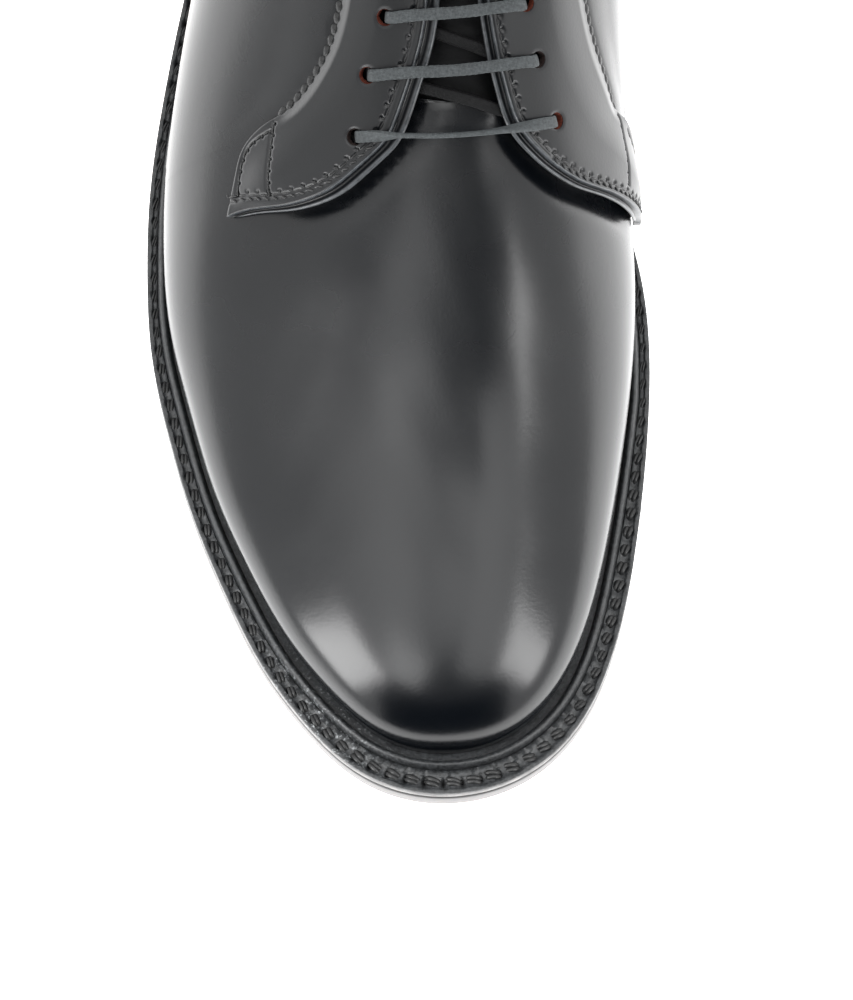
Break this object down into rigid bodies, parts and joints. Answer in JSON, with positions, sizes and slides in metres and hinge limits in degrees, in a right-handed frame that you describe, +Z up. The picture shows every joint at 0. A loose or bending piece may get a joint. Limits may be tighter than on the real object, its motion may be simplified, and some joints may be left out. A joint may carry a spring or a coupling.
{
  "type": "derby shoe",
  "caption": "Right-foot plain-toe derby shoe in black leather: hollow lasted upper, open eyelet facings, tongue, storm welt, leather sole, stacked heel and flat lace.",
  "frame": {"origin": "centre of the shoe's outline from above, on the ground", "axes": "+Z up, toe towards -Y, inner (medial) side towards +X"},
  "size_m": [0.1104, 0.308, 0.1159],
  "materials": {
    "outsole": "dyed and waxed edge, tan worn underside",
    "welt": "black dyed, waxed, stitched",
    "insole": "smooth tan",
    "top_piece": "matt",
    "heel": "stacked, black edge wax",
    "upper": "smooth, polished semi-gloss",
    "tongue": "smooth, less polished",
    "facings": "smooth, polished semi-gloss",
    "lace": "flat woven, waxed"
  },
  "bodies": {
    "root": {"outsole": "outsole", "welt": "welt", "insole": "insole", "heel_top_piece": "top_piece", "heel_lift_1": "heel", "heel_lift_2": "heel", "heel_lift_3": "heel", "upper": "upper", "tongue": "tongue", "facing_medial": "facings", "facing_lateral": "facings", "laces": "lace"}
  },
  "joints": []
}
